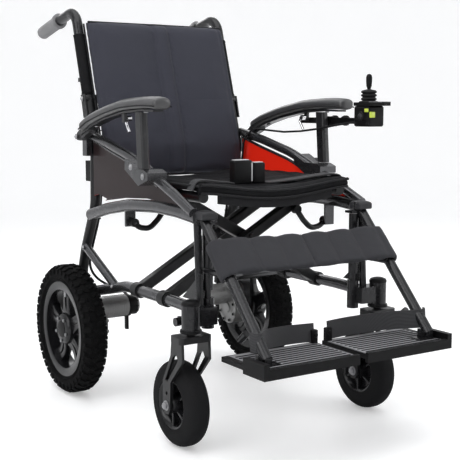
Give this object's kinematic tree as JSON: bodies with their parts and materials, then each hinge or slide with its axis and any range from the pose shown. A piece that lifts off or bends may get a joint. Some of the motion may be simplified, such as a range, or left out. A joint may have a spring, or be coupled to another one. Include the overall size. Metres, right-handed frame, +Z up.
{
  "type": "power wheelchair",
  "caption": "Folding power wheelchair with joystick, flip-up arms, footplates, spoked rear drive wheels and front casters",
  "frame": {"origin": "on the floor under the middle of the chair's box", "axes": "+Z up, the user faces -Y, the user's left side, with the joystick, is +X"},
  "size_m": [0.594, 1.0702, 0.9353],
  "materials": {
    "frame_paint": "gloss",
    "brace_paint": "satin",
    "guard_panel": "gloss",
    "pad_skin": "satin",
    "grip_rubber": "matte",
    "chrome": "polished",
    "motor_silver": "satin",
    "black_plastic": "satin",
    "tyre_rubber": "matte",
    "upholstery": "matte",
    "webbing": "matte"
  },
  "bodies": {
    "root": {"rear_upright_right": "frame_paint", "arch_rail_right": "frame_paint", "lower_rail_right": "frame_paint", "arm_rail_right": "frame_paint", "side_guard_right": "guard_panel", "front_upright_right": "frame_paint", "hanger_right": "frame_paint", "drive_unit_right": "motor_silver", "battery_pack": "black_plastic", "back_lower": "upholstery", "calf_strap": "upholstery"},
    "cross_a": {"cross_tubes_a": "brace_paint", "seat_pad": "upholstery", "lap_belt": "webbing"},
    "cross_b": {"cross_tubes_b": "brace_paint"},
    "frame_left": {"rear_upright_left": "frame_paint", "arch_rail_left": "frame_paint", "lower_rail_left": "frame_paint", "arm_rail_left": "frame_paint", "side_guard_left": "guard_panel", "front_upright_left": "frame_paint", "hanger_left": "frame_paint", "drive_unit_left": "motor_silver", "controller_lead": "grip_rubber"},
    "plate_right": {"footplate_right": "black_plastic", "heel_strap_right": "webbing"},
    "link_right": {"fold_link_right": "brace_paint"},
    "cane_right": {"back_cane_right": "frame_paint", "push_grip_right": "grip_rubber", "back_upper": "upholstery"},
    "cane_latch_right": {"cane_latch_right": "brace_paint"},
    "arm_right": {"arm_frame_right": "brace_paint", "arm_pad_right": "pad_skin"},
    "arm_latch_right": {"arm_latch_right": "chrome"},
    "wheel_right": {"wheel_rim_right": "black_plastic", "tyre_right": "tyre_rubber"},
    "clutch_right": {"clutch_lever_right": "black_plastic"},
    "fork_right": {"caster_fork_right": "frame_paint"},
    "caster_right": {"caster_rim_right": "black_plastic", "caster_tyre_right": "tyre_rubber"},
    "plate_left": {"footplate_left": "black_plastic", "heel_strap_left": "webbing"},
    "link_left": {"fold_link_left": "brace_paint"},
    "cane_left": {"back_cane_left": "frame_paint", "push_grip_left": "grip_rubber"},
    "cane_latch_left": {"cane_latch_left": "brace_paint"},
    "arm_left": {"arm_frame_left": "brace_paint", "arm_pad_left": "pad_skin", "controller": "black_plastic"},
    "arm_latch_left": {"arm_latch_left": "chrome"},
    "wheel_left": {"wheel_rim_left": "black_plastic", "tyre_left": "tyre_rubber"},
    "clutch_left": {"clutch_lever_left": "black_plastic"},
    "fork_left": {"caster_fork_left": "frame_paint"},
    "caster_left": {"caster_rim_left": "black_plastic", "caster_tyre_left": "tyre_rubber"},
    "joystick_gimbal": {"joystick_gimbal": "chrome", "joystick_boot": "grip_rubber"},
    "joystick_stick": {"joystick": "black_plastic"}
  },
  "joints": [
    {"name": "fold", "type": "hinge", "parent": "root", "child": "cross_a", "pos_m": [-0.215, -0.058, 0.284], "axis": [0, -1, 0], "range_deg": [0, 28], "deforming": ["seat_pad", "lap_belt", "back_lower", "back_upper", "calf_strap", "heel_strap_right", "heel_strap_left"]},
    {"name": "cross_mid", "type": "hinge", "parent": "cross_a", "child": "cross_b", "pos_m": [0, -0.058, 0.405], "axis": [0, -1, 0], "range_deg": [-56, 0]},
    {"name": "left_fold", "type": "hinge", "parent": "cross_b", "child": "frame_left", "pos_m": [0.215, -0.058, 0.284], "axis": [0, -1, 0], "range_deg": [0, 28]},
    {"name": "footplate_right", "type": "hinge", "parent": "root", "child": "plate_right", "pos_m": [-0.184, -0.488, 0.209], "axis": [0, -1, 0], "range_deg": [0, 89.6]},
    {"name": "link_right", "type": "hinge", "parent": "root", "child": "link_right", "pos_m": [-0.198, 0.038, 0.43], "axis": [0, -1, 0], "range_deg": [0, 50.4]},
    {"name": "back_fold_right", "type": "hinge", "parent": "root", "child": "cane_right", "pos_m": [-0.204, 0.25662, 0.712], "axis": [-1, 0, 0], "range_deg": [0, 90]},
    {"name": "cane_latch_right", "type": "hinge", "parent": "cane_right", "child": "cane_latch_right", "pos_m": [-0.204, 0.29284, 0.758], "axis": [1, 0, 0], "range_deg": [0, 6], "stiffness_Nm_per_rad": 0.8},
    {"name": "arm_flip_right", "type": "hinge", "parent": "root", "child": "arm_right", "pos_m": [-0.243, 0.22, 0.622], "axis": [-1, 0, 0], "range_deg": [0, 90]},
    {"name": "arm_latch_right", "type": "hinge", "parent": "arm_right", "child": "arm_latch_right", "pos_m": [-0.238, -0.02, 0.667], "axis": [1, 0, 0], "range_deg": [0, 20], "stiffness_Nm_per_rad": 0.3},
    {"name": "wheel_right", "type": "hinge", "parent": "root", "child": "wheel_right", "pos_m": [-0.269, 0.242, 0.1565], "axis": [1, 0, 0], "continuous": true},
    {"name": "clutch_right", "type": "hinge", "parent": "root", "child": "clutch_right", "pos_m": [-0.114, 0.246, 0.196], "axis": [-1, 0, 0], "range_deg": [0, 40]},
    {"name": "caster_swivel_right", "type": "hinge", "parent": "root", "child": "fork_right", "pos_m": [-0.246, -0.293, 0.243], "axis": [0, 0, 1], "continuous": true},
    {"name": "caster_wheel_right", "type": "hinge", "parent": "fork_right", "child": "caster_right", "pos_m": [-0.246, -0.251, 0.089], "axis": [1, 0, 0], "continuous": true},
    {"name": "footplate_left", "type": "hinge", "parent": "frame_left", "child": "plate_left", "pos_m": [0.184, -0.488, 0.209], "axis": [0, 1, 0], "range_deg": [0, 89.6]},
    {"name": "link_left", "type": "hinge", "parent": "frame_left", "child": "link_left", "pos_m": [0.198, -0.158, 0.43], "axis": [0, 1, 0], "range_deg": [0, 50.4]},
    {"name": "back_fold_left", "type": "hinge", "parent": "frame_left", "child": "cane_left", "pos_m": [0.204, 0.25662, 0.712], "axis": [-1, 0, 0], "range_deg": [0, 90]},
    {"name": "cane_latch_left", "type": "hinge", "parent": "cane_left", "child": "cane_latch_left", "pos_m": [0.204, 0.29284, 0.758], "axis": [1, 0, 0], "range_deg": [0, 6], "stiffness_Nm_per_rad": 0.8},
    {"name": "arm_flip_left", "type": "hinge", "parent": "frame_left", "child": "arm_left", "pos_m": [0.243, 0.22, 0.622], "axis": [-1, 0, 0], "range_deg": [0, 90], "deforming": ["controller_lead"]},
    {"name": "arm_latch_left", "type": "hinge", "parent": "arm_left", "child": "arm_latch_left", "pos_m": [0.238, -0.02, 0.667], "axis": [1, 0, 0], "range_deg": [0, 20], "stiffness_Nm_per_rad": 0.3},
    {"name": "wheel_left", "type": "hinge", "parent": "frame_left", "child": "wheel_left", "pos_m": [0.269, 0.242, 0.1565], "axis": [1, 0, 0], "continuous": true},
    {"name": "clutch_left", "type": "hinge", "parent": "frame_left", "child": "clutch_left", "pos_m": [0.114, 0.246, 0.196], "axis": [-1, 0, 0], "range_deg": [0, 40]},
    {"name": "caster_swivel_left", "type": "hinge", "parent": "frame_left", "child": "fork_left", "pos_m": [0.246, -0.293, 0.243], "axis": [0, 0, 1], "continuous": true},
    {"name": "caster_wheel_left", "type": "hinge", "parent": "fork_left", "child": "caster_left", "pos_m": [0.246, -0.251, 0.089], "axis": [1, 0, 0], "continuous": true},
    {"name": "joystick_fore", "type": "hinge", "parent": "arm_left", "child": "joystick_gimbal", "pos_m": [0.238, -0.261, 0.69], "axis": [1, 0, 0], "range_deg": [-18, 18], "stiffness_Nm_per_rad": 0.3, "deforming": ["joystick_boot"]},
    {"name": "joystick_side", "type": "hinge", "parent": "joystick_gimbal", "child": "joystick_stick", "pos_m": [0.238, -0.261, 0.69], "axis": [0, 1, 0], "range_deg": [-18, 18], "stiffness_Nm_per_rad": 0.3, "deforming": ["joystick_boot"]}
  ],
  "couplings": [
    {"joint": "cross_mid", "follows": "fold", "ratio": -2},
    {"joint": "left_fold", "follows": "fold", "ratio": 1},
    {"joint": "footplate_right", "follows": "fold", "ratio": 3.2},
    {"joint": "link_right", "follows": "fold", "ratio": 1.8},
    {"joint": "footplate_left", "follows": "fold", "ratio": 3.2},
    {"joint": "link_left", "follows": "fold", "ratio": 1.8},
    {"joint": "back_fold_left", "follows": "back_fold_right", "ratio": 1}
  ]
}
